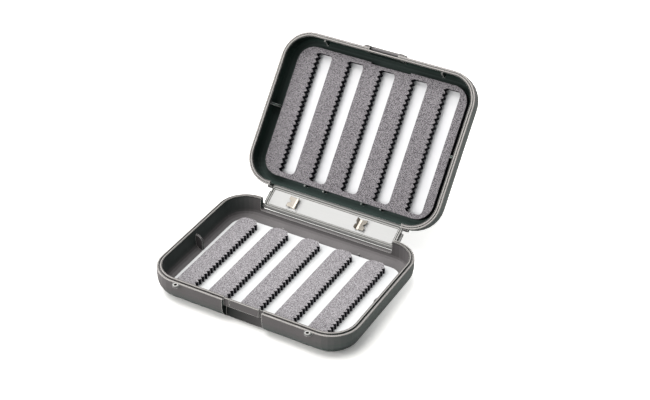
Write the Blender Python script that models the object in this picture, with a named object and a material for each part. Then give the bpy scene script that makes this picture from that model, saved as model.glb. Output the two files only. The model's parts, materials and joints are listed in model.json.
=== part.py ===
"""Pocket fly case: two shallow trays on a double hinge, with toothed foam inserts and a snap lever.

Lengths are in millimetres and become metres when a mesh is made. +X runs along the hinge, +Y from the
latch towards the hinge, +Z up. The origin is the middle of the base tray's underside.
"""

from math import cos, pi, radians, sin

import bmesh
import bpy
from mathutils import Matrix, Vector

MM = 0.001

# Trays, seen from above
WIDTH = 121.0
DEPTH = 91.0
CORNER = 16.8
HALF_X = WIDTH / 2
HALF_Y = DEPTH / 2
CORNER_STEPS = 8
ROUND_STEPS = 5
GAP = 0.3

# Base tray, heights above its underside
BASE_TOP = 15.5
BASE_LIP = 15.0
BASE_ROUND = 9.5
BASE_FLOOR = 2.2
BASE_WALL = 3.0
RIM_GROOVE = (0.95, 1.9)
GROOVE_FLOOR = 13.9

# Lid tray, heights measured from its rim plane, negative into the lid
LID_HEIGHT = 14.2
LID_ROUND = 8.6
LID_FLOOR = -13.15
LID_LAND = 2.6
LID_WALL = 1.6

# The cove between wall and floor: how far in and how far up it reaches
BASE_COVE = (5.0, 4.5)
LID_COVE = (5.9, 5.2)

# Double hinge
AXIS_DROP = 6.2
BASE_AXIS_Y = HALF_Y
BASE_AXIS_Z = BASE_TOP - AXIS_DROP
LINK_LENGTH = 2 * AXIS_DROP + GAP
LINK_TILT = radians(28.4)
LID_LEAN = radians(50.9)
LINK_HALF = 41.3
NOTCH_HALF = 41.8
NOTCH_DROP = AXIS_DROP + 1.8
FLANGE_HALF = 42.6
EAR = (42.0, 44.8)
EAR_RADIUS = 1.25
BARREL_RADIUS = 1.3
PIN_RADIUS = 0.4
PIN_HOLE = PIN_RADIUS + 0.2
PIN_HALF = 44.1
LINK_BACK = -1.4
LINK_FACE = 0.8
POCKET_FLOOR = 0.05
PLAQUE_HALF = 39.3
PLAQUE_T = (1.6, 11.1)
PLAQUE_N = (0.25, 0.7)

# Spring clips on the plaque: fold position along the hinge, and which way the long tail points
CLIPS = {"clip_left": (-23.2, -1), "clip_right": (16.9, 1)}
CLIP_T = (3.1, 9.6)
CLIP_SHEET = 0.3
CLIP_BASE_N = PLAQUE_N[1] + 0.15
TANG_T = (5.3, 7.3)
TANG_TIP_N = -0.7

# Snap lever on the lid's front wall; v counts from the hinge side of the lid, w up from its rim.
# Its numbers are for the closed lever; at rest it is folded back over the outside of the lid.
LATCH_X = -0.2
LEVER_HALF = 8.7
LATCH_POCKET_HALF = 9.1
LATCH_POCKET_V = 89.45
LATCH_AXIS_V = 91.0
LATCH_AXIS_W = -3.6
LEVER_V = (89.7, 90.7)
LEVER_TIP_W = 8.2
HOOK_W = 6.2
HOOK_V = 88.5
LUG_OUT = 92.2
LUG_REACH = 4.6
LEVER_FOLD = radians(-180.0)

# Catch recess in the base tray's front wall
RECESS_HALF = 12.0
BAR_FACE_Y = -43.5
BAR_BACK_Y = -42.3
BAR_BOTTOM_Z = BASE_TOP + GAP - HOOK_W + 0.4
UNDERCUT_Y = -41.3
EYELET_X = 39.8

# Inserts
TOOTH_DEPTH = 1.5
TOOTH_PITCH = 2.87
ROW_PITCH = 20.23
STRIP_LEFT = -48.3
STRIP_WIDTH = 11.7
STRIP_Y = (-36.0, 33.4)
STRIP_CORNERS = (1.6, 4.0)
FOAM_THICK = 3.5
LID_FOAM_THICK = 4.5
BACKING_TOP = 3.1
BACKING_THICK = 0.75
WINDOW_LEFT = -43.25
WINDOW_WIDTH = 10.55
WINDOW_V = (9.6, 81.4)
LID_FOAM_TOP = -8.0
LID_FOAM_X = 53.45
LID_FOAM_V = (6.8, 84.2)
LID_BACKING_THICK = 0.2


def rounded_loop(half_x, y_low, y_high, radius, steps=CORNER_STEPS):
    """Points of a rounded rectangle, counter-clockwise from above."""
    centres = (
        (half_x - radius, y_high - radius, 0),
        (radius - half_x, y_high - radius, 90),
        (radius - half_x, y_low + radius, 180),
        (half_x - radius, y_low + radius, 270),
    )
    points = []
    for x, y, start in centres:
        for step in range(steps + 1):
            angle = radians(start + 90 * step / steps)
            points.append((x + radius * cos(angle), y + radius * sin(angle)))
    return points


def box_outline(a_low, a_high, b_low, b_high):
    return [(a_low, b_low), (a_high, b_low), (a_high, b_high), (a_low, b_high)]


def circle_outline(a, b, radius, steps=16):
    angles = [2 * pi * (k + 0.5) / steps for k in range(steps)]
    return [(a + radius * cos(angle), b + radius * sin(angle)) for angle in angles]


def add_loops(bm, loops):
    """Skin a stack of equal loops of 3-D points and cap both ends."""
    rows = [[bm.verts.new(point) for point in loop] for loop in loops]
    for low, high in zip(rows, rows[1:]):
        for k in range(len(low)):
            following = (k + 1) % len(low)
            bm.faces.new((low[k], low[following], high[following], high[k]))
    bm.faces.new(reversed(rows[0]))
    bm.faces.new(rows[-1])


def add_prism(bm, outline, axis, low, high):
    """Extrude a 2-D outline along one axis; it lies in the other two axes, in X, Y, Z order."""

    def place(point, along):
        coordinates = list(point)
        coordinates.insert("xyz".index(axis), along)
        return tuple(coordinates)

    add_loops(bm, [[place(p, along) for p in outline] for along in (low, high)])


def finish_mesh(bm, name):
    bmesh.ops.recalc_face_normals(bm, faces=bm.faces)
    bmesh.ops.scale(bm, vec=(MM, MM, MM), verts=bm.verts)
    mesh = bpy.data.meshes.new(name)
    bm.to_mesh(mesh)
    bm.free()
    return mesh


def make_material(name, colour, roughness, metallic=0.0):
    material = bpy.data.materials.new(name)
    material.use_nodes = True
    shader = material.node_tree.nodes["Principled BSDF"]
    shader.inputs["Base Color"].default_value = (*colour, 1.0)
    shader.inputs["Roughness"].default_value = roughness
    shader.inputs["Metallic"].default_value = metallic
    return material


def make_object(name, bm, material, parent=None):
    mesh = finish_mesh(bm, name)
    mesh.shade_smooth()
    mesh.set_sharp_from_angle(angle=radians(32))
    mesh.materials.append(material)
    obj = bpy.data.objects.new(name, mesh)
    bpy.context.scene.collection.objects.link(obj)
    obj.parent = parent
    return obj


def make_pivot(name, location, tilt, parent=None):
    """An empty on a joint axis, turned about X."""
    pivot = bpy.data.objects.new(name, None)
    bpy.context.scene.collection.objects.link(pivot)
    pivot.location = Vector(location) * MM
    pivot.rotation_euler = (tilt, 0.0, 0.0)
    pivot.parent = parent
    return pivot


def add_boolean(target, bm, operation, label):
    """Add a Boolean whose tool object stays hidden beside its target."""
    tool = bpy.data.objects.new(label, finish_mesh(bm, label))
    bpy.context.scene.collection.objects.link(tool)
    tool.parent = target.parent
    tool.hide_render = True
    tool.display_type = "WIRE"
    modifier = target.modifiers.new(label, "BOOLEAN")
    modifier.operation = operation
    modifier.object = tool


def tray_loops(profile, y_middle):
    """Carry a profile of (inset, height) points round the tray's outline."""
    loops = []
    for inset, height in profile:
        outline = rounded_loop(
            HALF_X - inset,
            y_middle - HALF_Y + inset,
            y_middle + HALF_Y - inset,
            CORNER - inset,
        )
        loops.append([(x, y, height) for x, y in outline])
    return loops


def outer_round(radius, bottom):
    """Rounded lower edge, from the underside up to the wall."""
    points = []
    for step in range(ROUND_STEPS + 1):
        angle = pi / 2 * step / ROUND_STEPS
        points.append((radius * (1 - sin(angle)), bottom + radius * (1 - cos(angle))))
    return points


def inner_cove(wall, floor, reach):
    """Cove from the inner wall down to the floor."""
    points = []
    for step in range(ROUND_STEPS + 1):
        angle = pi / 2 * step / ROUND_STEPS
        points.append((wall + reach[0] * (1 - cos(angle)), floor + reach[1] * (1 - sin(angle))))
    return points


def base_profile():
    groove_out, groove_in = RIM_GROOVE
    rim = [
        (0.0, BASE_LIP - 0.3),
        (0.3, BASE_LIP),
        (groove_out, BASE_LIP),
        (groove_out, GROOVE_FLOOR),
        (groove_in, GROOVE_FLOOR),
        (groove_in, BASE_TOP - 0.15),
        (groove_in + 0.15, BASE_TOP),
        (BASE_WALL - 0.15, BASE_TOP),
        (BASE_WALL, BASE_TOP - 0.15),
    ]
    return outer_round(BASE_ROUND, 0.0) + rim + inner_cove(BASE_WALL, BASE_FLOOR, BASE_COVE)


def lid_profile():
    """Rim of the lid: a lower outer ledge, a fine step line and a raised land."""
    rim = [
        (0.0, -0.5),
        (0.25, -0.25),
        (0.85, -0.25),
        (0.9, -0.9),
        (1.25, -0.9),
        (1.3, 0.0),
        (LID_LAND - 0.15, 0.0),
        (LID_LAND, -0.15),
        (LID_LAND, -1.3),
        (LID_WALL, -1.9),
    ]
    return outer_round(LID_ROUND, -LID_HEIGHT) + rim + inner_cove(LID_WALL, LID_FLOOR, LID_COVE)


def shift_loops(loops, rise):
    return [[(x, y, z + rise) for x, y, z in loop] for loop in loops]


def notch_outline(half, low, high, radius=1.4, steps=4):
    """Rectangle in X and Z with its two lower corners rounded."""
    points = [(half, high), (-half, high)]
    for side, start in ((-1, 180), (1, 270)):
        for step in range(steps + 1):
            angle = radians(start + 90 * step / steps)
            points.append((side * (half - radius) + radius * cos(angle), low + radius + radius * sin(angle)))
    return points


def fin_outline(side, wall, tip, floor, high, steps=5):
    """Gusset fin seen along its thickness: its foot sinks into the cove, its shoulder is rounded."""
    root = wall - 1.0
    points = [(root, floor + 4.3), (wall, floor + 2.6), (wall + 2.5, floor - 0.2), (tip, floor - 0.6)]
    for step in range(steps + 1):
        angle = pi / 2 * step / steps
        points.append((root + (tip - root) * cos(angle), high - 4.0 + 4.0 * sin(angle)))
    return [(side * (HALF_X - inset), z) for inset, z in points]


def add_ears(bm, y, z):
    for side in (-1, 1):
        low, high = sorted((side * EAR[0], side * EAR[1]))
        add_prism(bm, circle_outline(y, z, EAR_RADIUS), "x", low, high)


def bore_ears(tray, y, z):
    """Blind pin holes: through the ears from the notch, closed just short of their outer ends."""
    bm = bmesh.new()
    for side in (-1, 1):
        low, high = sorted((side * (NOTCH_HALF - 1.0), side * (PIN_HALF + 0.2)))
        add_prism(bm, circle_outline(y, z, PIN_HOLE, 12), "x", low, high)
    add_boolean(tray, bm, "DIFFERENCE", tray.name + "_bores")


def add_side_fins(bm, wall, tip, y_middle, floor, high):
    for side in (-1, 1):
        outline = fin_outline(side, wall, tip, floor, high)
        add_prism(bm, outline, "y", y_middle - 0.6, y_middle + 0.6)


def add_nubs(bm, places, y, low, high):
    """Small posts that hold the edge of an insert."""
    for x in places:
        add_prism(bm, circle_outline(x, y, 0.5, 8), "z", low, high)


def build_base_tray(material):
    bm = bmesh.new()
    add_loops(bm, tray_loops(base_profile(), 0.0))
    tray = make_object("base_tray", bm, material)

    extras = bmesh.new()
    add_ears(extras, BASE_AXIS_Y, BASE_AXIS_Z)
    add_side_fins(extras, BASE_WALL, 7.3, 0.0, BASE_FLOOR, BASE_TOP - 3.6)
    add_nubs(extras, (-24.2, 24.2), 37.6, BASE_FLOOR - 0.6, BASE_FLOOR + 1.8)
    boss = [(-41.2, 2.0), (-39.9, 1.4), (-39.9, BAR_BOTTOM_Z), (-42.0, BAR_BOTTOM_Z + 1.2),
            (-43.2, BAR_BOTTOM_Z + 1.2), (-43.2, 4.2)]
    add_prism(extras, boss, "x", -RECESS_HALF - 1.4, RECESS_HALF + 1.4)
    for side in (-1, 1):
        middle = EYELET_X * side
        half_turn = [pi * k / 8 for k in range(9)]
        eyelet = [(middle - 2.1 * cos(a), -46.3 - 2.0 * sin(a)) for a in half_turn]
        outline = [(middle + 2.1, -44.9), (middle - 2.1, -44.9)] + eyelet
        add_prism(extras, outline, "z", BASE_LIP - 1.3, BASE_LIP - 0.15)
    add_boolean(tray, extras, "UNION", "base_tray_extras")

    cuts = bmesh.new()
    notch = notch_outline(NOTCH_HALF, BASE_TOP - NOTCH_DROP, BASE_TOP + 2.0)
    add_prism(cuts, notch, "y", HALF_Y - BASE_WALL - 1.0, HALF_Y + 4.0)
    for side in (-1, 1):
        add_prism(cuts, circle_outline(EYELET_X * side, -46.7, 0.85, 12), "z", BASE_LIP - 3.0, BASE_LIP + 1.0)
    add_boolean(tray, cuts, "DIFFERENCE", "base_tray_cuts")
    bore_ears(tray, BASE_AXIS_Y, BASE_AXIS_Z)

    recess = bmesh.new()
    step = [
        (-60.0, -2.0),
        (UNDERCUT_Y, -2.0),
        (UNDERCUT_Y, BAR_BOTTOM_Z),
        (BAR_FACE_Y, BAR_BOTTOM_Z),
        (BAR_FACE_Y, BASE_LIP - 0.2),
        (BASE_WALL - HALF_Y + 0.4, BASE_LIP - 0.2),
        (BASE_WALL - HALF_Y + 0.4, BASE_TOP + 2.0),
        (-60.0, BASE_TOP + 2.0),
    ]
    add_prism(recess, step, "x", -RECESS_HALF, RECESS_HALF)
    add_boolean(tray, recess, "DIFFERENCE", "base_tray_recess")

    slots = bmesh.new()
    add_prism(slots, box_outline(-8.8, -8.4, -60.0, BAR_FACE_Y + 0.6), "z", BAR_BOTTOM_Z + 1.2, BASE_TOP + 1.0)
    add_prism(slots, box_outline(9.0, RECESS_HALF + 0.01, -60.0, BAR_FACE_Y + 0.7), "z", BAR_BOTTOM_Z - 1.0,
              BASE_TOP + 1.0)
    add_boolean(tray, slots, "DIFFERENCE", "base_tray_slots")
    return tray


def build_lid_tray(material, pivot):
    bm = bmesh.new()
    add_loops(bm, shift_loops(tray_loops(lid_profile(), HALF_Y), AXIS_DROP))
    tray = make_object("lid_tray", bm, material, pivot)
    rim = AXIS_DROP
    floor = LID_FLOOR + rim

    extras = bmesh.new()
    add_ears(extras, 0.0, 0.0)
    add_side_fins(extras, LID_WALL, 6.7, HALF_Y, floor, rim - 3.6)
    add_nubs(extras, (-24.2, -12.2, 12.2, 24.2), 6.1, floor - 0.3, floor + 5.0)
    for x in (-37.2, 36.4):
        add_prism(extras, [(86.2, floor + 6.0), (89.4, floor + 5.0), (89.4, rim - 0.9), (87.4, rim - 0.9)],
                  "x", x - 0.4, x + 0.4)
    boss = [(88.4, floor + 2.3), (89.7, floor + 3.9), (89.7, rim - 0.9), (88.4, rim - 0.9)]
    add_prism(extras, boss, "x", LATCH_X - 11.0, LATCH_X + 11.0)
    for side in (-1, 1):
        near = LATCH_X + side * (LATCH_POCKET_HALF - 0.2)
        far = near + side * LUG_REACH
        mid = near + side * (LUG_REACH - 1.6)
        lug = [(near, 89.8), (near, LUG_OUT), (mid, LUG_OUT), (far, 90.8), (far, 89.8)]
        add_prism(extras, lug, "z", rim - 6.8, rim - 0.9)
    add_boolean(tray, extras, "UNION", "lid_tray_extras")

    cuts = bmesh.new()
    add_prism(cuts, notch_outline(NOTCH_HALF, rim - NOTCH_DROP, rim + 2.0), "y", -4.0, LID_LAND + 0.8)
    pocket = box_outline(LATCH_POCKET_V, DEPTH + 6.0, rim - 8.2, rim + 2.0)
    add_prism(cuts, pocket, "x", LATCH_X - LATCH_POCKET_HALF, LATCH_X + LATCH_POCKET_HALF)
    add_boolean(tray, cuts, "DIFFERENCE", "lid_tray_cuts")
    bore_ears(tray, 0.0, 0.0)

    bore = bmesh.new()
    add_prism(bore, circle_outline(LATCH_AXIS_V, rim + LATCH_AXIS_W, PIN_HOLE, 12), "x",
              LATCH_X - LATCH_POCKET_HALF - 3.2, LATCH_X + LATCH_POCKET_HALF + 3.2)
    add_boolean(tray, bore, "DIFFERENCE", "lid_tray_bore")
    return tray


def build_link(material, pivot):
    """Hinge link: two barrels, a plate between them with a pocket, and a flange behind each end."""
    bm = bmesh.new()
    plate = [
        (0.0, LINK_BACK + 0.3),
        (0.3, LINK_BACK),
        (LINK_LENGTH - 0.3, LINK_BACK),
        (LINK_LENGTH, LINK_BACK + 0.3),
        (LINK_LENGTH, LINK_FACE),
        (0.0, LINK_FACE),
    ]
    add_prism(bm, plate, "x", -LINK_HALF, LINK_HALF)
    link = make_object("hinge_link", bm, material, pivot)

    extras = bmesh.new()
    for t in (0.0, LINK_LENGTH):
        add_prism(extras, circle_outline(t, 0.0, BARREL_RADIUS, 14), "x", -LINK_HALF - 0.001, LINK_HALF + 0.001)
    add_boolean(link, extras, "UNION", "hinge_link_barrels")

    flanges = bmesh.new()
    add_prism(flanges, box_outline(2.7, LINK_LENGTH - 2.7, LINK_BACK - 0.7, LINK_BACK + 0.9), "x",
              -FLANGE_HALF, FLANGE_HALF)
    add_boolean(link, flanges, "UNION", "hinge_link_flange")

    cuts = bmesh.new()
    for t in (0.0, LINK_LENGTH):
        add_prism(cuts, circle_outline(t, 0.0, PIN_HOLE, 12), "x", -LINK_HALF - 1.0, LINK_HALF + 1.0)
    low, high = PLAQUE_T
    add_prism(cuts, rounded_loop(PLAQUE_HALF + 0.2, low - 0.2, high + 0.2, 0.6, 2), "z", POCKET_FLOOR, 4.0)
    add_boolean(link, cuts, "DIFFERENCE", "hinge_link_cuts")
    add_boolean(link, tang_slots(), "DIFFERENCE", "hinge_link_slots")
    grooves = bmesh.new()
    for side in (-1, 1):
        near, far = sorted((side * (PLAQUE_HALF + 0.8), side * (PLAQUE_HALF + 1.1)))
        add_prism(grooves, box_outline(near, far, low - 0.6, high + 0.6), "z", LINK_FACE - 0.45, LINK_FACE + 1.0)
    add_boolean(link, grooves, "DIFFERENCE", "hinge_link_grooves")
    return link


def tang_slots():
    """Slots that the clips' tangs pass through, with room all round."""
    bm = bmesh.new()
    for fold, side in CLIPS.values():
        outline = box_outline(fold - CLIP_SHEET / 2 - 0.15, fold + CLIP_SHEET / 2 + 0.15, TANG_T[0] - 0.2, TANG_T[1] + 0.2)
        add_prism(bm, outline, "z", TANG_TIP_N - 0.2, 2.0)
    return bm


def build_plaque(material, pivot):
    bm = bmesh.new()
    low, high = PLAQUE_T
    add_prism(bm, rounded_loop(PLAQUE_HALF, low, high, 0.5, 2), "z", *PLAQUE_N)
    plaque = make_object("link_plaque", bm, material, pivot)
    add_boolean(plaque, tang_slots(), "DIFFERENCE", "link_plaque_slots")
    return plaque


def clip_section(fold, side):
    """Folded sheet seen along the clip: a steep fin on one side and a long, slightly lifted tail."""
    low = [(-1.4, 2.4), (-0.6, 0.0), (1.0, 0.0), (4.7, 1.3)]
    high = [(4.6, 1.3 + CLIP_SHEET), (0.95, CLIP_SHEET), (-0.4, CLIP_SHEET), (-1.1, 2.5)]
    return [(fold + side * x, CLIP_BASE_N + n) for x, n in low + high]


def build_clip(name, fold, side, material, pivot):
    bm = bmesh.new()
    add_prism(bm, clip_section(fold, side), "y", *CLIP_T)
    clip = make_object(name, bm, material, pivot)
    tang = bmesh.new()
    outline = box_outline(fold - CLIP_SHEET / 2, fold + CLIP_SHEET / 2, *TANG_T)
    add_prism(tang, outline, "z", TANG_TIP_N, CLIP_BASE_N + CLIP_SHEET / 2)
    add_boolean(clip, tang, "UNION", name + "_tang")
    middle = sum(CLIP_T) / 2
    cuts = bmesh.new()
    tail = [(fold + side * 2.9, middle), (fold + side * 6.0, middle - 2.4), (fold + side * 6.0, middle + 2.4)]
    add_prism(cuts, tail, "z", 0.0, 5.0)
    add_boolean(clip, cuts, "DIFFERENCE", name + "_tail_notch")
    cuts = bmesh.new()
    fin = [(middle, CLIP_BASE_N + 1.2), (middle - 1.6, CLIP_BASE_N + 3.0), (middle + 1.6, CLIP_BASE_N + 3.0)]
    low, high = sorted((fold - side * 0.2, fold - side * 3.0))
    add_prism(cuts, fin, "x", low, high)
    add_boolean(clip, cuts, "DIFFERENCE", name + "_fin_notch")
    return clip


def build_pin(name, y, z, low, high, material, parent):
    bm = bmesh.new()
    add_prism(bm, circle_outline(y, z, PIN_RADIUS, 12), "x", low, high)
    return make_object(name, bm, material, parent)


def build_lever(material, pivot):
    """Snap lever; the pivot empty sits on its pin, so v and w count from there."""
    inner = LEVER_V[0] - LATCH_AXIS_V
    outer = LEVER_V[1] - LATCH_AXIS_V
    tip = LEVER_TIP_W - LATCH_AXIS_W
    hook = HOOK_W - LATCH_AXIS_W
    hook_v = HOOK_V - LATCH_AXIS_V
    section = [
        (inner, -0.5),
        (outer, -0.5),
        (outer, tip - 2.2),
        (outer + 0.5, tip - 1.2),
        (outer + 0.5, tip - 0.3),
        (outer + 0.2, tip),
        (inner + 0.3, tip),
        (inner, tip - 0.3),
        (inner, hook + 1.4),
        (hook_v + 0.3, hook + 1.0),
        (hook_v, hook + 0.7),
        (hook_v, hook + 0.2),
        (hook_v + 0.2, hook),
        (inner, hook),
    ]
    bm = bmesh.new()
    add_prism(bm, section, "x", LATCH_X - LEVER_HALF, LATCH_X + LEVER_HALF)
    lever = make_object("latch_lever", bm, material, pivot)
    barrel = bmesh.new()
    add_prism(barrel, circle_outline(0.0, 0.0, 1.1, 14), "x", LATCH_X - LEVER_HALF - 0.001,
              LATCH_X + LEVER_HALF + 0.001)
    add_boolean(lever, barrel, "UNION", "latch_lever_barrel")
    bore = bmesh.new()
    add_prism(bore, circle_outline(0.0, 0.0, PIN_HOLE, 12), "x", LATCH_X - LEVER_HALF - 1.0,
              LATCH_X + LEVER_HALF + 1.0)
    add_boolean(lever, bore, "DIFFERENCE", "latch_lever_bore")
    return lever


def toothed_edge(root, tip, start, stop):
    """Saw-tooth edge running from start to stop, rooted at one X and reaching to the other."""
    count = round(abs(stop - start) / TOOTH_PITCH)
    pitch = (stop - start) / count
    points = []
    for k in range(count):
        points.append((root, start + pitch * k))
        points.append((tip, start + pitch * (k + 0.44)))
        points.append((tip, start + pitch * (k + 0.56)))
    points.append((root, stop))
    return points


def corner_arc(x, y, radius, start, steps=4):
    return [
        (x + radius * cos(radians(start + 90 * k / steps)), y + radius * sin(radians(start + 90 * k / steps)))
        for k in range(steps + 1)
    ]


def strip_outline(left):
    """Foam strip: straight on the left, teeth on the right, rounded at its ends."""
    low, high = STRIP_Y
    root = left + STRIP_WIDTH - TOOTH_DEPTH
    front, rear = STRIP_CORNERS
    points = corner_arc(left + front, low + front, front, 180)
    points += corner_arc(root - front, low + front, front, 270)[:-1]
    points += toothed_edge(root, root + TOOTH_DEPTH, low + front, high - rear / 2)
    points += corner_arc(root - rear / 2, high - rear / 2, rear / 2, 0)[1:]
    points += corner_arc(left + rear, high - rear, rear, 90)
    return points


def window_outline(left):
    """Window in the lid foam: teeth reach in from the left, the right side is straight."""
    low, high = WINDOW_V
    right = left + WINDOW_WIDTH
    radius = 2.6
    points = toothed_edge(left, left + TOOTH_DEPTH, high - 1.4, low + 1.4)
    points += [(left + 1.6, low)]
    points += corner_arc(right - radius, low + radius, radius, 270)
    points += corner_arc(right - radius, high - radius, radius, 0)
    points += [(left + 1.6, high)]
    return points


def sheet_with_holes(outline, holes, low, high):
    """Flat sheet with holes: fill the outline minus the holes, then give it its thickness."""
    bm = bmesh.new()
    for loop in [outline] + holes:
        verts = [bm.verts.new((x, y, low)) for x, y in loop]
        for k in range(len(verts)):
            bm.edges.new((verts[k], verts[(k + 1) % len(verts)]))
    bmesh.ops.triangle_fill(bm, edges=bm.edges, use_beauty=True, use_dissolve=False)
    lower = list(bm.faces)
    grown = bmesh.ops.extrude_face_region(bm, geom=lower, use_keep_orig=True)
    raised = [item for item in grown["geom"] if isinstance(item, bmesh.types.BMVert)]
    bmesh.ops.translate(bm, vec=(0.0, 0.0, high - low), verts=raised)
    return bm


def lid_foam_outline():
    """Rounded sheet with a shallow step in its front edge where the latch boss stands."""
    low, high = LID_FOAM_V
    points = rounded_loop(LID_FOAM_X, low, high, 9.8)
    first_row = CORNER_STEPS + 1
    step = [(16.4, high), (16.4, high - 0.8), (-8.7, high - 0.8), (-8.7, high)]
    return points[:first_row] + step + points[first_row:]


def build_inserts(foam, backing, lid_pivot):
    bm = bmesh.new()
    add_prism(bm, rounded_loop(52.7, -36.5, 36.5, 8.0), "z", BACKING_TOP - BACKING_THICK, BACKING_TOP)
    make_object("base_backing", bm, backing)
    foam_low = BACKING_TOP + 0.2
    for row in range(5):
        bm = bmesh.new()
        add_prism(bm, strip_outline(STRIP_LEFT + row * ROW_PITCH), "z", foam_low, foam_low + FOAM_THICK)
        make_object(f"foam_strip_{row + 1}", bm, foam)

    foam_top = LID_FOAM_TOP + AXIS_DROP
    holes = [window_outline(WINDOW_LEFT + row * ROW_PITCH) for row in range(5)]
    bm = sheet_with_holes(lid_foam_outline(), holes, foam_top - LID_FOAM_THICK, foam_top)
    make_object("lid_foam", bm, foam, lid_pivot)
    backing_top = foam_top - LID_FOAM_THICK - 0.2
    bm = bmesh.new()
    add_prism(bm, rounded_loop(LID_FOAM_X - 0.6, 7.7, 82.9, 9.3), "z", backing_top - LID_BACKING_THICK, backing_top)
    make_object("lid_backing", bm, backing, lid_pivot)


def build():
    for old in list(bpy.data.objects):
        bpy.data.objects.remove(old, do_unlink=True)

    shell = make_material("grey_plastic", (0.15, 0.15, 0.145), 0.45)
    link_plastic = make_material("link_plastic", (0.2, 0.2, 0.195), 0.45)
    white = make_material("white_sheet", (0.88, 0.89, 0.9), 0.4)
    foam = make_material("grey_foam", (0.4, 0.38, 0.4), 0.95)
    silver = make_material("plaque_sheet", (0.78, 0.78, 0.77), 0.3)
    spring = make_material("spring_metal", (0.62, 0.58, 0.5), 0.3, 1.0)
    steel = make_material("pin_steel", (0.6, 0.6, 0.6), 0.3, 1.0)

    link_pivot = make_pivot("base_hinge_axis", (0.0, BASE_AXIS_Y, BASE_AXIS_Z), LINK_TILT)
    lid_pivot = make_pivot("lid_hinge_axis", (0.0, LINK_LENGTH, 0.0), LID_LEAN - LINK_TILT, link_pivot)
    lever_place = (0.0, LATCH_AXIS_V, AXIS_DROP + LATCH_AXIS_W)
    lever_pivot = make_pivot("latch_axis", lever_place, LEVER_FOLD, lid_pivot)

    build_base_tray(shell)
    build_lid_tray(shell, lid_pivot)
    build_link(link_plastic, link_pivot)
    build_plaque(silver, link_pivot)
    for name, (fold, side) in CLIPS.items():
        build_clip(name, fold, side, spring, link_pivot)
    build_pin("base_hinge_pin", 0.0, 0.0, -PIN_HALF, PIN_HALF, steel, link_pivot)
    build_pin("lid_hinge_pin", LINK_LENGTH, 0.0, -PIN_HALF, PIN_HALF, steel, link_pivot)
    build_lever(shell, lever_pivot)
    pin_low = LATCH_X - LATCH_POCKET_HALF - 3.0
    pin_high = LATCH_X + LATCH_POCKET_HALF + 3.0
    build_pin("latch_pin", LATCH_AXIS_V, AXIS_DROP + LATCH_AXIS_W, pin_low, pin_high, steel, lid_pivot)
    build_inserts(foam, white, lid_pivot)
    bpy.context.view_layer.update()


build()
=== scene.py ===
"""Open pocket fly case on a white table, in soft studio light."""

import json
from collections import namedtuple
from math import cos, radians, sin

import bmesh
import bpy
from mathutils import Matrix, Vector


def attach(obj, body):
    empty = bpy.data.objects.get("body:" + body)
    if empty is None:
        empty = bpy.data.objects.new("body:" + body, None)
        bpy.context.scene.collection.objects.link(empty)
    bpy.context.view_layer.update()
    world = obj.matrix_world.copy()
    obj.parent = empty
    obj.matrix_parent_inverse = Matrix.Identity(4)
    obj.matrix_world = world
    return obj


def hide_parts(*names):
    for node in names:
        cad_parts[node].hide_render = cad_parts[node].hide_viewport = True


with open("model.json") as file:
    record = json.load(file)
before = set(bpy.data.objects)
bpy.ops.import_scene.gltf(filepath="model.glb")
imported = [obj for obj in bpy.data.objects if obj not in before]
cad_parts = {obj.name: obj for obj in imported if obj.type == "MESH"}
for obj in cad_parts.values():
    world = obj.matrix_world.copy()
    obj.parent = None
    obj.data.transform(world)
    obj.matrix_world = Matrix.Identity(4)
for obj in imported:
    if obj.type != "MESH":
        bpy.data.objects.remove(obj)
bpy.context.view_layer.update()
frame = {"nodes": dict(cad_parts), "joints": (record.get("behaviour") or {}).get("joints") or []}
NODES = frame["nodes"]
JOINTS = {joint["name"]: joint for joint in frame["joints"]}
MM = 0.001

# Camera at the photograph's viewing angle
CAMERA_AT = Vector((0.3355, -0.5630, 0.5070))
CAMERA_AIM = Vector((0.0, 0.0424, 0.0289))
CAMERA_ROLL = radians(0.43)
CAMERA_LENS = 84.74
CAMERA_SENSOR = 36.0
CAMERA_CLIP = 0.01

# Studio lights: name, position, size and power
LIGHTS = [
    ("key", (-0.4, -0.1, 1.45), (1.2, 1.2), 27.0),
    ("fill", (-0.7, -1.2, 0.6), (1.2, 0.8), 17.0),
]
LIGHT_AIM = (0, 0.03, 0.02)
LIGHT_COLOUR = (1.0, 0.985, 0.97)

# World glow, from the side that stays dim to the side that is bright
WORLD_SIDE = (-0.6, 0.0, 0.8)
WORLD_GLOW = [(0.1, (0.05, 0.078, 0.072)), (0.9, (0.75, 0.765, 0.76))]

# Paper floor. It glows behind the case and far away: from, to, strength there, strength here
FLOOR_HALF = 4.0
FLOOR_Z = -0.0001
FLOOR_COLOUR = (0.92, 0.912, 0.9)
FLOOR_GLOW = (1.0, 0.99, 0.975)
FLOOR_ROUGHNESS = 0.9
GLOW_BEHIND = (-0.035, 0.05, 0.06, 0.7)
GLOW_FAR = (0.25, 0.9, 0.0, 1.0)

# Tray outline, in metres
HALF_X = 0.0605
HALF_Y = 0.0455
CORNER = 0.0168
BASE_TOP = 0.0155

# Lid placement at rest
LID_LEAN = radians(50.9)
LID_ORIGIN = Vector(JOINTS["lid_hinge"]["pos_m"])
AXIS_DROP = 6.2
LID_NORMAL = Vector((0.0, -sin(LID_LEAN), cos(LID_LEAN)))
LID_ALONG = Vector((0.0, cos(LID_LEAN), sin(LID_LEAN)))
LID_RIM_MIDDLE = LID_ORIGIN + LID_NORMAL * AXIS_DROP * MM + LID_ALONG * HALF_Y

# Hinge link and its plaque at rest
LINK_TILT = radians(28.4)
LINK_ALONG = Vector((0.0, cos(LINK_TILT), sin(LINK_TILT)))
LINK_REACH = 6.35
LINK_MIDDLE = Vector(JOINTS["base_hinge"]["pos_m"]) + LINK_ALONG * LINK_REACH * MM
PLAQUE_HALF_X = 0.0393
PLAQUE_HALF_T = 0.00475
PLAQUE_CORNER = 0.0003

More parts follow.
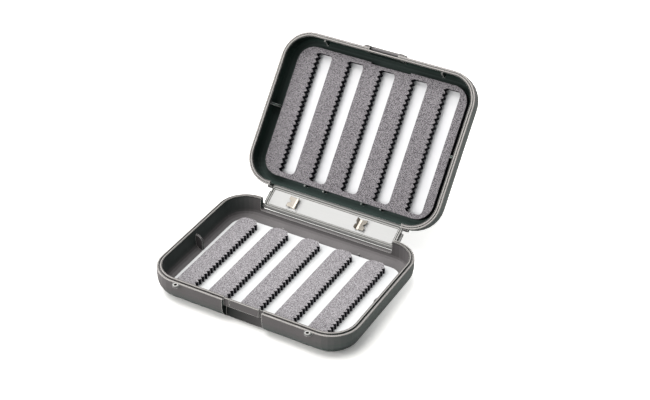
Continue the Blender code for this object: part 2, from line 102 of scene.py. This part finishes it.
# Latch recess in the base's front wall, and the painted shade inside it from its left end to its
# right
RECESS_HALF_X = 0.01205
RECESS_BACK = -0.0411
RECESS_TOP = 0.00995
RECESS_SHADE = (-0.012, 0.009, 1.0, 0.35)
RECESS_SHADE_TONE = (0.006, 0.009, 0.0085)

# Eyelet tabs on the base's front wall, and their tone from the middle of the hole outwards:
# painted shadow in the hole, a painted highlight ring round it
EYELET_X = 0.0398
EYELET_Y = -0.0467
TAB_REACH = 0.0022
TAB_LOW = 0.0143
TAB_BACK = -0.04555
HOLE_REACH = 0.00088
EYELET_SPAN = 0.002
HOLE_SHADOW, RING_HIGHLIGHT, TAB_TONE = (0.003, 0.003, 0.003), (0.42, 0.42, 0.41), (0.13, 0.13, 0.13)
EYELET_SHADOW_AND_HIGHLIGHT = [
    (0.0, HOLE_SHADOW), (0.435, HOLE_SHADOW), (0.47, RING_HIGHLIGHT), (0.65, RING_HIGHLIGHT), (0.8, TAB_TONE),
]

# Satin grey plastic
PLASTIC = (0.085, 0.085, 0.085)
PLASTIC_MOTTLE = (0.125, 0.123, 0.123)
PLASTIC_CLOUD = 0.92
PLASTIC_ROUGHNESS = (0.58, 0.7)
PLASTIC_SPECULAR = 0.14
# Painted shade for the lid's deep inside
LID_DEEP_SHADE = (0.017, 0.031, 0.027)

# Noises, as scale, detail and roughness; bumps, as strength and distance
MOTTLE = (900.0, 4.0, 0.6)
HANDLING = (35.0, 3.0, 0.5)
RIM_PATCHES = (220.0, 3.0, 0.6)
GRAIN = (2600.0, 2.0, 0.5)
GRAIN_BUMP = (0.25, 0.00003)
FOAM_GRAIN = (2400.0, 2.0, 0.8)
FOAM_CELLS = 1300.0
FOAM_BUMP = (0.6, 0.00015)
CUT_GRAIN = (1600.0, 3.0, 0.7)
CUT_BUMP = (0.5, 0.0001)
SHEET_CLOUD = (60.0, 2.0, 0.5)
SHEET_GRAIN = (700.0, 2.0, 0.5)
SHEET_BUMP = (0.08, 0.00003)
DRAWN_LINES = (60.0, 2500.0, 2500.0)
CLIP_SPECKLE = (500.0, 500.0, 500.0)
METAL_BUMP = (0.12, 0.00002)

# Painted highlight along edges: its pale tone, and the radius and the two cosines that show an
# edge
EDGE_HIGHLIGHT = (0.6, 0.59, 0.57)
EDGE_FOUND = (0.0005, 0.97, 0.7)
CLIP_EDGE_FOUND = (0.0006, 0.97, 0.6)

# Painted light and shade on the plastic: its colour is scaled by which way each face turns,
# lighter towards above and the left, darker and greener away from it
PAINTED_LIGHT_SIDE = (-0.4, -0.05, 0.9)
PAINTED_LIGHT_BY_FACING = [
    (0.0, (0.08, 0.13, 0.12)),
    (0.13, (0.16, 0.235, 0.22)),
    (0.26, (0.5, 0.6, 0.57)),
    (0.5, (0.82, 0.765, 0.775)),
    (0.8, (1.6, 1.5, 1.53)),
    (1.0, (1.4, 1.33, 1.35)),
]

# Painted highlight and shadow lines round the rim: millimetres in from the tray's outline, and the
# tone there
RIM_SHADOW, RIM_SOFT_SHADE = (0.012, 0.014, 0.013), (0.045, 0.046, 0.044)
RIM_MID, RIM_HIGHLIGHT = (0.075, 0.075, 0.073), (0.2, 0.2, 0.19)
RIM_SPAN = 4.0
BASE_LINES = [
    (0.0, RIM_MID), (0.3, RIM_HIGHLIGHT), (0.6, RIM_HIGHLIGHT), (0.9, RIM_SOFT_SHADE), (1.8, RIM_SOFT_SHADE),
    (2.05, RIM_HIGHLIGHT), (2.4, RIM_HIGHLIGHT), (2.6, RIM_SOFT_SHADE), (2.9, RIM_SOFT_SHADE),
]
LID_LINES = [
    (0.0, RIM_MID), (0.5, RIM_HIGHLIGHT), (0.75, RIM_HIGHLIGHT), (0.9, RIM_SHADOW), (1.5, RIM_SHADOW),
    (1.65, RIM_HIGHLIGHT), (1.95, RIM_HIGHLIGHT), (2.15, RIM_SHADOW), (2.6, RIM_SHADOW),
]
# A rim's middle, its two directions, the height where its painted lines start, and the painted
# shade deep inside
Rim = namedtuple("Rim", "middle along normal start lines deep")
BASE_RIM = Rim(Vector((0, 0, BASE_TOP)), (0, 1, 0), (0, 0, 1), -0.0008, BASE_LINES, None)
LID_RIM = Rim(LID_RIM_MIDDLE, LID_ALONG, LID_NORMAL, -0.0012, LID_LINES, LID_DEEP_SHADE)
RIM_FADE = 0.00015
# Painted shade inside the lid: where it starts and is full, below the rim; how far in from its
# outline
LID_HOLLOW_SHADE = (-0.001, -0.0042, 0.0, 0.9)
LID_SHADE_INSET = 0.0014
FACES_OPENING = -0.05

# Painted highlight and shadow lines that frame the plaque: millimetres in from its outline
LINK_MID, LINK_HIGHLIGHT = (0.1, 0.1, 0.097), (0.32, 0.315, 0.3)
LINK_LINES = [
    (-2.4, LINK_MID), (-2.1, RIM_SHADOW), (-1.8, LINK_HIGHLIGHT), (-1.5, LINK_MID), (-1.25, RIM_SHADOW),
    (-0.95, RIM_SHADOW), (-0.75, LINK_HIGHLIGHT), (-0.45, LINK_HIGHLIGHT), (-0.25, RIM_SHADOW),
    (0.2, RIM_SHADOW), (0.6, LINK_MID),
]

# Foam, sheet and metal tones, darkest first
# Painted shade: near-black foam sides; painted light: lighter tooth tips
FOAM_CUT_SHADED = (0.004, 0.004, 0.006), (0.016, 0.016, 0.02)
FOAM_TIP_LIT = (0.2, 0.19, 0.21), (0.34, 0.33, 0.35)
FOAM_BASE = (0.095, 0.087, 0.097), (0.385, 0.37, 0.385)
# Painted shade: the lid's foam is a darker copy of the base's foam
FOAM_LID_SHADED = (0.03, 0.027, 0.031), (0.255, 0.24, 0.254)
BASE_SHEET = (0.64, 0.65, 0.662), (0.68, 0.686, 0.69)
# Painted shade: the lid's white sheet is a darker copy of the base's
LID_SHEET_SHADED = (0.54, 0.542, 0.56), (0.575, 0.575, 0.59)
PLAQUE_SATIN = (0.355, 0.355, 0.353), (0.37, 0.37, 0.368)
CLIP_NICKEL = (0.3, 0.27, 0.235), (0.34, 0.315, 0.28)
# Painted shade along the clips' edges
CLIP_EDGE_SHADE = (0.05, 0.042, 0.032)
PIN_WIRE = (0.5, 0.5, 0.5), (0.7, 0.7, 0.7)

# Foam inserts, in millimetres
TOOTH_DEPTH = 1.5
TOOTH_PITCH = 2.87
TOOTH_TIP = (0.4, 0.6)
ROW_PITCH = 20.23
ROWS = 5
EDGE_BREAK = 0.1
STRIP_LEFT = -48.3
STRIP_WIDTH = 11.65
STRIP_Y = (-35.95, 33.35)
STRIP_CORNERS = (1.6, 4.0)
STRIP_Z = (3.3, 6.8)
WINDOW_LEFT = -43.2
WINDOW_WIDTH = 10.5
WINDOW_V = (9.7, 81.3)
WINDOW_CORNER = 2.6
WINDOW_TOOTH_END = 1.2
WINDOW_END_IN = 1.6
LID_FOAM_Z = (-6.3, -1.8)
LID_FOAM_X = 53.4
LID_FOAM_V = (6.85, 84.15)
LID_FOAM_CORNER = 9.8
LID_FOAM_STEPS = 10
# Shallow cut-out in the lid foam's front edge, behind the latch: right, left, depth
LATCH_CUT = (16.4, -8.7, 0.9)

# Angles and normals that tell edges and faces apart
SHARP_ANGLE = radians(33)
TOP_EDGE_TURN = 1.2
TOP_SLACK = 0.01
TOP_NORMAL_Z = 0.35
TIP_NORMAL_X = 0.99
TOP_SKIN, SIDE_SKIN, TIP_SKIN = range(3)


def camera():
    """Camera that looks at the case from the photograph's viewpoint."""
    forward = (CAMERA_AIM - CAMERA_AT).normalized()
    level = forward.cross(Vector((0, 0, 1))).normalized()
    upright = level.cross(forward)
    right = level * cos(CAMERA_ROLL) + upright * sin(CAMERA_ROLL)
    up = upright * cos(CAMERA_ROLL) - level * sin(CAMERA_ROLL)
    turn = Matrix((right, up, -forward)).transposed().to_4x4()
    data = bpy.data.cameras.new("camera")
    data.lens = CAMERA_LENS
    data.sensor_width = CAMERA_SENSOR
    data.clip_start = CAMERA_CLIP
    obj = bpy.data.objects.new("camera", data)
    obj.matrix_world = Matrix.Translation(CAMERA_AT) @ turn
    bpy.context.scene.collection.objects.link(obj)
    bpy.context.scene.camera = obj


def area_light(name, position, size, power):
    """Rectangular light that aims at the case and isn't seen by the camera."""
    data = bpy.data.lights.new(name, "AREA")
    data.shape = "RECTANGLE"
    data.size, data.size_y = size
    data.energy = power
    data.color = LIGHT_COLOUR
    obj = bpy.data.objects.new(name, data)
    obj.location = position
    aim = Vector(LIGHT_AIM) - Vector(position)
    obj.rotation_euler = aim.to_track_quat("-Z", "Y").to_euler()
    obj.visible_camera = False
    bpy.context.scene.collection.objects.link(obj)


class Nodes:
    """A node tree and short ways to add procedural nodes to it."""

    def __init__(self, tree, main):
        self.tree = tree
        self.main = tree.nodes[main]

    def node(self, kind, settings=None, **inputs):
        item = self.tree.nodes.new(kind)
        for key, value in (settings or {}).items():
            setattr(item, key, value)
        for key, value in inputs.items():
            self.feed(item, key.replace("_", " "), value)
        return item

    def feed(self, item, key, value):
        """Link a socket or a node to an input, or set the input to a plain value."""
        socket = item.inputs[int(key)] if key.isdigit() else item.inputs[key]
        if isinstance(value, bpy.types.NodeSocket):
            self.tree.links.new(value, socket)
        elif isinstance(value, bpy.types.Node):
            self.tree.links.new(value.outputs[0], socket)
        else:
            socket.default_value = value

    def set(self, **inputs):
        """Feed inputs of the main shader."""
        for key, value in inputs.items():
            self.feed(self.main, key.replace("_", " "), value)

    def position(self):
        return self.node("ShaderNodeTexCoord").outputs["Object"]

    def axes(self):
        """The position's X, Y and Z."""
        split = self.node("ShaderNodeSeparateXYZ")
        self.feed(split, "0", self.position())
        return split.outputs

    def noise(self, scale, detail=3.0, roughness=0.5):
        item = self.node("ShaderNodeTexNoise", Scale=scale, Detail=detail, Roughness=roughness)
        self.feed(item, "Vector", self.position())
        return item.outputs["Fac"]

    def ramp(self, factor, stops):
        item = self.node("ShaderNodeValToRGB")
        self.feed(item, "Fac", factor)
        elements = item.color_ramp.elements
        while len(elements) < len(stops):
            elements.new(0.5)
        for element, (place, colour) in zip(elements, stops):
            element.position = place
            element.color = (*colour, 1.0)
        return item.outputs["Color"]

    def mix(self, factor, a, b, mode="MIX"):
        item = self.node("ShaderNodeMix", {"data_type": "RGBA", "blend_type": mode})
        for socket, value in (("Factor", factor), ("A", a), ("B", b)):
            match = [s for s in item.inputs if s.name == socket and s.enabled][0]
            if isinstance(value, bpy.types.NodeSocket):
                self.tree.links.new(value, match)
            else:
                match.default_value = (*value, 1.0) if isinstance(value, tuple) else value
        return [s for s in item.outputs if s.enabled][0]

    def math(self, operation, a, b=0.0):
        item = self.node("ShaderNodeMath", {"operation": operation})
        self.feed(item, "0", a)
        self.feed(item, "1", b)
        return item.outputs[0]

    def product(self, *factors):
        result = factors[0]
        for factor in factors[1:]:
            result = self.math("MULTIPLY", result, factor)
        return result

    def hypotenuse(self, a, b):
        squares = [self.math("POWER", side, 2.0) for side in (a, b)]
        return self.math("SQRT", self.math("ADD", *squares))

    def map_range(self, value, low, high, to_low=0.0, to_high=1.0):
        item = self.node("ShaderNodeMapRange")
        for key, number in (("Value", value), ("From Min", low), ("From Max", high)):
            self.feed(item, key, number)
        self.feed(item, "To Min", to_low)
        self.feed(item, "To Max", to_high)
        return item.outputs[0]

    def vector_math(self, operation, *vectors):
        item = self.node("ShaderNodeVectorMath", {"operation": operation})
        for place, vector in enumerate(vectors):
            self.feed(item, str(place), vector)
        return item

    def dot(self, a, b):
        return self.vector_math("DOT_PRODUCT", a, b).outputs["Value"]

    def from_point(self, origin):
        """The position as an offset from a point."""
        return self.vector_math("SUBTRACT", self.position(), tuple(origin))

    def edges(self, radius, flat, sharp):
        """Mask of the edges: where a rounded-over normal leaves the true one."""
        softened = self.node("ShaderNodeBevel", {"samples": 6}, Radius=radius)
        turn = self.dot(self.node("ShaderNodeNewGeometry").outputs["Normal"], softened)
        return self.map_range(turn, flat, sharp, 0.0, 0.85)

    def bump(self, height, strength, distance):
        item = self.node("ShaderNodeBump", Strength=strength, Distance=distance)
        self.feed(item, "Height", height)
        self.set(Normal=item.outputs["Normal"])


class Shader(Nodes):
    """A new Principled material."""

    def __init__(self, name):
        self.material = bpy.data.materials.new(name)
        self.material.use_nodes = True
        super().__init__(self.material.node_tree, "Principled BSDF")


def world_glow():
    """Soft light from all round, brighter from above and from the left."""
    world = bpy.data.worlds.new("studio")
    world.use_nodes = True
    sky = Nodes(world.node_tree, "Background")
    side = sky.dot(sky.node("ShaderNodeTexCoord").outputs["Generated"], WORLD_SIDE)
    sky.set(Strength=1.0, Color=sky.ramp(sky.map_range(side, -1.0, 1.0), WORLD_GLOW))
    bpy.context.scene.world = world


def paper_floor():
    """White paper that glows behind the case and far from it, so that shadows there fade out."""
    bm = bmesh.new()
    bmesh.ops.create_grid(bm, x_segments=1, y_segments=1, size=FLOOR_HALF)
    mesh = bpy.data.meshes.new("floor")
    bm.to_mesh(mesh)
    bm.free()
    floor = bpy.data.objects.new("floor", mesh)
    bpy.context.scene.collection.objects.link(floor)
    floor.location.z = FLOOR_Z
    paper = Shader("floor_paper")
    behind = paper.map_range(paper.axes()[1], *GLOW_BEHIND)
    distance = paper.vector_math("LENGTH", paper.position()).outputs["Value"]
    glow = paper.math("MAXIMUM", behind, paper.map_range(distance, *GLOW_FAR))
    paper.set(Base_Color=(*FLOOR_COLOUR, 1), Roughness=FLOOR_ROUGHNESS, Metallic=0.0)
    paper.set(Emission_Color=(*FLOOR_GLOW, 1), Emission_Strength=glow)
    mesh.materials.append(paper.material)


def studio():
    bpy.context.scene.view_settings.view_transform = "Standard"
    world_glow()
    for light in LIGHTS:
        area_light(*light)
    paper_floor()


def inset_from_edge(shader, origin, along, half_x, half_y, corner):
    """Distance in from a rounded outline, measured in its own plane."""
    offset = shader.from_point(origin)
    beyond = []
    for direction, half in (((1, 0, 0), half_x), (along, half_y)):
        out = shader.math("ABSOLUTE", shader.dot(offset, tuple(direction)))
        beyond.append(shader.math("SUBTRACT", out, half - corner))
    diagonal = shader.hypotenuse(*(shader.math("MAXIMUM", out, 0.0) for out in beyond))
    flat = shader.math("MINIMUM", shader.math("MAXIMUM", *beyond), 0.0)
    return shader.math("SUBTRACT", corner, shader.math("ADD", diagonal, flat))


def with_rim(shader, base, rim):
    """Paint highlight and shadow lines round a rim and, where the rim asks for it, painted shade
    deep inside.
    """
    rise = shader.dot(shader.from_point(rim.middle), tuple(rim.normal))
    inset = inset_from_edge(shader, rim.middle, rim.along, HALF_X, HALF_Y, CORNER)
    # Painted highlight and shadow lines, by distance in from the outline, patchy at random
    lines = [(place / RIM_SPAN, tone) for place, tone in rim.lines]
    bands = shader.ramp(shader.map_range(inset, 0.0, RIM_SPAN * MM), lines)
    near = shader.map_range(rise, rim.start - RIM_FADE, rim.start)
    patchy = shader.map_range(shader.noise(*RIM_PATCHES), 0.3, 0.6, 0.75, 1.0)
    if rim.deep:
        # Painted shade: the lid's inner walls darken with depth below the rim
        hollow_shade = shader.map_range(rise, *LID_HOLLOW_SHADE)
        upward = shader.dot(shader.node("ShaderNodeTexCoord").outputs["Normal"], tuple(rim.normal))
        open_side = shader.math("GREATER_THAN", upward, FACES_OPENING)
        past_rim = shader.math("GREATER_THAN", inset, LID_SHADE_INSET)
        base = shader.mix(shader.product(hollow_shade, open_side, past_rim), base, rim.deep)
    return shader.mix(shader.product(near, patchy), base, bands)


def with_recess(shader, base):
    """Paint shade inside the latch recess, darker towards its left end."""
    x, y, z = shader.axes()
    inside = (
        shader.math("LESS_THAN", shader.math("ABSOLUTE", x), RECESS_HALF_X),
        shader.math("LESS_THAN", y, RECESS_BACK),
        shader.math("LESS_THAN", z, RECESS_TOP),
    )
    shade = shader.map_range(x, *RECESS_SHADE)
    return shader.mix(shader.product(*inside, shade), base, RECESS_SHADE_TONE)


def with_eyelets(shader, base):
    """Give both eyelet tabs a painted shadow in the hole and a painted highlight ring round it."""
    x, y, z = shader.axes()
    sideways = shader.math("SUBTRACT", shader.math("ABSOLUTE", x), EYELET_X)
    away = shader.hypotenuse(sideways, shader.math("ADD", y, -EYELET_Y))
    tab = shader.product(
        shader.math("LESS_THAN", away, TAB_REACH),
        shader.math("GREATER_THAN", z, TAB_LOW),
    )
    tab = shader.math("MAXIMUM", tab, shader.math("LESS_THAN", away, HOLE_REACH))
    tab = shader.product(tab, shader.math("LESS_THAN", y, TAB_BACK))
    ring = shader.ramp(shader.map_range(away, 0.0, EYELET_SPAN), EYELET_SHADOW_AND_HIGHLIGHT)
    return shader.mix(tab, base, ring)


def moulded_plastic(name, rim=None, fittings=False):
    """Satin moulded plastic: fine mottle, faint handling marks, painted light and shade by face
    direction, painted highlights on edges, and painted highlight and shadow lines round the rim.
    """
    shader = Shader(name)
    mottle = shader.noise(*MOTTLE)
    cloud = shader.map_range(shader.noise(*HANDLING), 0.35, 0.65)
    base = shader.mix(cloud, tuple(c * PLASTIC_CLOUD for c in PLASTIC), PLASTIC)
    base = shader.mix(shader.map_range(mottle, 0.4, 0.8, 0.0, 0.22), base, PLASTIC_MOTTLE)
    if rim:
        base = with_rim(shader, base, rim)
    if fittings:
        base = with_recess(shader, base)
    # Painted light and shade: faces turned up and to the left are lightened, faces turned away are
    # darkened
    facing_light = shader.dot(shader.node("ShaderNodeNewGeometry").outputs["Normal"], PAINTED_LIGHT_SIDE)
    painted_light = shader.ramp(shader.map_range(facing_light, -0.9, 1.0), PAINTED_LIGHT_BY_FACING)
    base = shader.mix(1.0, base, painted_light, "MULTIPLY")
    # Painted highlight: edges are lightened where small roundings would catch light
    base = shader.mix(shader.edges(*EDGE_FOUND), base, EDGE_HIGHLIGHT)
    if fittings:
        base = with_eyelets(shader, base)
    rough = shader.map_range(mottle, 0.3, 0.7, *PLASTIC_ROUGHNESS)
    shader.set(Base_Color=base, Roughness=rough, Specular_IOR_Level=PLASTIC_SPECULAR)
    shader.bump(shader.noise(*GRAIN), *GRAIN_BUMP)
    return shader.material


def link_plastic():
    """Satin plastic of the hinge link, with painted highlight and shadow lines framing the plaque.
    """
    shader = Shader("link_plastic")
    first, last = LINK_LINES[0][0], LINK_LINES[-1][0]
    inset = inset_from_edge(
        shader, LINK_MIDDLE, LINK_ALONG, PLAQUE_HALF_X, PLAQUE_HALF_T, PLAQUE_CORNER
    )
    lines = [((place - first) / (last - first), tone) for place, tone in LINK_LINES]
    bands = shader.ramp(shader.map_range(inset, first * MM, last * MM), lines)
    soft = shader.map_range(shader.noise(*MOTTLE), 0.4, 0.8, 0.0, 0.35)
    shader.set(Base_Color=shader.mix(soft, bands, LINK_MID), Roughness=0.4)
    shader.bump(shader.noise(*GRAIN), *GRAIN_BUMP)
    return shader.material


def foam_top_material(name, dark, pale):
    """Fine-celled foam: a salt-and-pepper surface of open cells."""
    shader = Shader(name)
    grain = shader.noise(*FOAM_GRAIN)
    cells = shader.node("ShaderNodeTexVoronoi", {"feature": "F1"}, Scale=FOAM_CELLS)
    shader.feed(cells, "Vector", shader.position())
    middle = tuple((a + b) / 2 for a, b in zip(dark, pale))
    tone = shader.ramp(grain, [(0.42, dark), (0.5, middle), (0.58, pale)])
    pits = shader.map_range(cells.outputs["Distance"], 0.0, 0.45, 0.75, 1.0)
    grey = shader.node("ShaderNodeCombineColor", Red=pits, Green=pits, Blue=pits).outputs[0]
    colour = shader.mix(1.0, tone, grey, "MULTIPLY")
    shader.set(Base_Color=colour, Roughness=0.95, Specular_IOR_Level=0.2)
    shader.bump(cells.outputs["Distance"], *FOAM_BUMP)
    return shader.material


def foam_side_material(name, dark, pale):
    """Cut side of the foam, with open cells, in painted tones: near black for painted shade on the
    sides, lighter for painted light on the tooth tips.
    """
    shader = Shader(name)
    grain = shader.noise(*CUT_GRAIN)
    tone = shader.ramp(grain, [(0.3, dark), (0.7, pale)])
    shader.set(Base_Color=tone, Roughness=0.95, Specular_IOR_Level=0.1)
    shader.bump(grain, *CUT_BUMP)
    return shader.material


def white_sheet_material(name, dim, pale):
    """Smooth white sheet, very slightly uneven in tone and surface."""
    shader = Shader(name)
    cloud = shader.noise(*SHEET_CLOUD)
    shader.set(Base_Color=shader.ramp(cloud, [(0.35, dim), (0.65, pale)]), Roughness=0.45)
    shader.bump(shader.noise(*SHEET_GRAIN), *SHEET_BUMP)
    return shader.material


def metal_material(name, tones, roughness, metallic, texture=DRAWN_LINES, outline=None):
    """Metal or satin sheet with a fine surface, drawn along one axis where texture is uneven."""
    shader = Shader(name)
    dark, pale = tones
    mapping = shader.node("ShaderNodeMapping", Vector=shader.position(), Scale=texture)
    lines = shader.node("ShaderNodeTexNoise", Scale=1.0, Detail=3.0, Vector=mapping)
    fine = lines.outputs["Fac"]
    tone = shader.ramp(fine, [(0.35, dark), (0.65, pale)])
    if outline:
        # Painted shade: a dark tone along the edges, where given
        tone = shader.mix(shader.edges(*CLIP_EDGE_FOUND), tone, outline)
    rough = shader.map_range(fine, 0.3, 0.7, roughness * 0.8, roughness * 1.2)
    shader.set(Base_Color=tone, Metallic=metallic, Roughness=rough)
    shader.bump(fine, *METAL_BUMP)
    return shader.material


def corner_arc(x, y, radius, start, steps=6):
    """Quarter circle of points, from an angle in degrees."""
    angles = [radians(start + 90 * k / steps) for k in range(steps + 1)]
    return [(x + radius * cos(a), y + radius * sin(a)) for a in angles]


def toothed_edge(root, tip, start, stop):
    """Saw-tooth edge from start to stop, rooted at one X and reaching to the other."""
    count = round(abs(stop - start) / TOOTH_PITCH)
    pitch = (stop - start) / count
    points = []
    for k in range(count):
        points.append((root, start + pitch * k))
        points += [(tip, start + pitch * (k + part)) for part in TOOTH_TIP]
    points.append((root, stop))
    return points


def strip_outline(left):
    """Outline of one foam strip of the base, with teeth on its right edge."""
    low, high = STRIP_Y
    root = left + STRIP_WIDTH - TOOTH_DEPTH
    front, rear = STRIP_CORNERS
    points = corner_arc(left + front, low + front, front, 180)
    points += corner_arc(root - front, low + front, front, 270)[:-1]
    points += toothed_edge(root, root + TOOTH_DEPTH, low + front, high - rear / 2)
    points += corner_arc(root - rear / 2, high - rear / 2, rear / 2, 0)[1:]
    points += corner_arc(left + rear, high - rear, rear, 90)
    return points


def window_outline(left):
    """Outline of one window in the lid foam, with teeth on its left edge."""
    low, high = WINDOW_V
    centre_x = left + WINDOW_WIDTH - WINDOW_CORNER
    teeth = high - WINDOW_TOOTH_END, low + WINDOW_TOOTH_END
    points = toothed_edge(left, left + TOOTH_DEPTH, *teeth)
    points += [(left + WINDOW_END_IN, low)]
    points += corner_arc(centre_x, low + WINDOW_CORNER, WINDOW_CORNER, 270)
    points += corner_arc(centre_x, high - WINDOW_CORNER, WINDOW_CORNER, 0)
    points += [(left + WINDOW_END_IN, high)]
    return points


def lid_foam_outline():
    """Rounded outline of the lid foam, with the latch cut-out in its front edge."""
    low, high = LID_FOAM_V
    radius, steps = LID_FOAM_CORNER, LID_FOAM_STEPS
    inner_x = LID_FOAM_X - radius
    right, left, depth = LATCH_CUT
    points = corner_arc(inner_x, high - radius, radius, 0, steps)
    points += [(right, high), (right, high - depth), (left, high - depth), (left, high)]
    points += corner_arc(-inner_x, high - radius, radius, 90, steps)
    points += corner_arc(-inner_x, low + radius, radius, 180, steps)
    points += corner_arc(inner_x, low + radius, radius, 270, steps)
    return points


def foam_piece(name, outline, holes, low, high, place, skins, body, node):
    """Sheet of foam with cut sides and broken top edges. Its skins are top, side and tooth tip."""
    bm = bmesh.new()
    for loop in [outline] + holes:
        verts = [bm.verts.new((x, y, low)) for x, y in loop]
        for k, vert in enumerate(verts):
            bm.edges.new((vert, verts[(k + 1) % len(verts)]))
    bmesh.ops.triangle_fill(bm, edges=bm.edges, use_beauty=True, use_dissolve=False)
    grown = bmesh.ops.extrude_face_region(bm, geom=list(bm.faces), use_keep_orig=True)
    raised = [item for item in grown["geom"] if isinstance(item, bmesh.types.BMVert)]
    bmesh.ops.translate(bm, vec=(0.0, 0.0, high - low), verts=raised)
    bmesh.ops.recalc_face_normals(bm, faces=bm.faces)
    rim = [
        edge for edge in bm.edges
        if len(edge.link_faces) == 2 and edge.calc_face_angle() > TOP_EDGE_TURN
        and all(vert.co.z > high - TOP_SLACK for vert in edge.verts)
    ]
    bmesh.ops.bevel(bm, geom=rim, offset=EDGE_BREAK, segments=1, profile=0.5,
                    affect="EDGES", clamp_overlap=True)
    for face in bm.faces:
        if face.normal.z > TOP_NORMAL_Z:
            face.material_index = TOP_SKIN
        else:
            face.material_index = TIP_SKIN if face.normal.x > TIP_NORMAL_X else SIDE_SKIN
    bm.transform(place @ Matrix.Scale(MM, 4))
    mesh = bpy.data.meshes.new(name)
    bm.to_mesh(mesh)
    bm.free()
    for skin in skins:
        mesh.materials.append(skin)
    obj = bpy.data.objects.new(name, mesh)
    bpy.context.scene.collection.objects.link(obj)
    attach(obj, body)
    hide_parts(node)


def foam_inserts():
    """Five toothed strips in the base, and one sheet with five toothed windows in the lid."""
    # Painted shade on the cut sides and painted light on the tooth tips
    side = foam_side_material("foam_cut_side_shaded", *FOAM_CUT_SHADED)
    tip = foam_side_material("foam_tooth_tip_lit", *FOAM_TIP_LIT)
    top = foam_top_material("foam_surface", *FOAM_BASE)
    # Painted shade: a darker copy of the foam for the lid
    lid_top_shaded = foam_top_material("foam_surface_lid_shaded", *FOAM_LID_SHADED)
    skins = (top, side, tip)
    flat = Matrix.Identity(4)
    for row in range(ROWS):
        outline = strip_outline(STRIP_LEFT + row * ROW_PITCH)
        names = f"foam_row_{row + 1}", f"foam_strip_{row + 1}"
        foam_piece(names[0], outline, [], *STRIP_Z, flat, skins, "base", names[1])
    skins = (lid_top_shaded, side, side)
    place = Matrix.Translation(LID_ORIGIN) @ Matrix.Rotation(LID_LEAN, 4, "X")
    holes = [window_outline(WINDOW_LEFT + row * ROW_PITCH) for row in range(ROWS)]
    outline = lid_foam_outline()
    foam_piece("lid_foam_sheet", outline, holes, *LID_FOAM_Z, place, skins, "lid", "lid_foam")


def dress(names, material):
    """Give CAD nodes a material, and smooth shading that keeps their sharp edges."""
    for name in names:
        mesh = NODES[name].data
        mesh.materials.clear()
        mesh.materials.append(material)
        for polygon in mesh.polygons:
            polygon.material_index = 0
            polygon.use_smooth = True
        mesh.set_sharp_from_angle(angle=SHARP_ANGLE)
        mesh.normals_split_custom_set([(0.0, 0.0, 0.0)] * len(mesh.loops))


def materials():
    """Dress every CAD node that stays visible."""
    dress(["base_tray"], moulded_plastic("base_plastic", BASE_RIM, True))
    dress(["lid_tray"], moulded_plastic("lid_plastic", LID_RIM))
    dress(["latch_lever"], moulded_plastic("lever_plastic"))
    dress(["hinge_link"], link_plastic())
    dress(["base_backing"], white_sheet_material("base_sheet", *BASE_SHEET))
    # Painted shade: a darker copy of the white sheet for the lid
    dress(["lid_backing"], white_sheet_material("lid_sheet_shaded", *LID_SHEET_SHADED))
    dress(["link_plaque"], metal_material("plaque_satin", PLAQUE_SATIN, 0.5, 0.0))
    clip = metal_material("clip_nickel", CLIP_NICKEL, 0.38, 0.75, CLIP_SPECKLE, CLIP_EDGE_SHADE)
    dress(["clip_left", "clip_right"], clip)
    pins = metal_material("pin_wire", PIN_WIRE, 0.3, 0.6)
    dress(["base_hinge_pin", "lid_hinge_pin", "latch_pin"], pins)


camera()
studio()
materials()
foam_inserts()
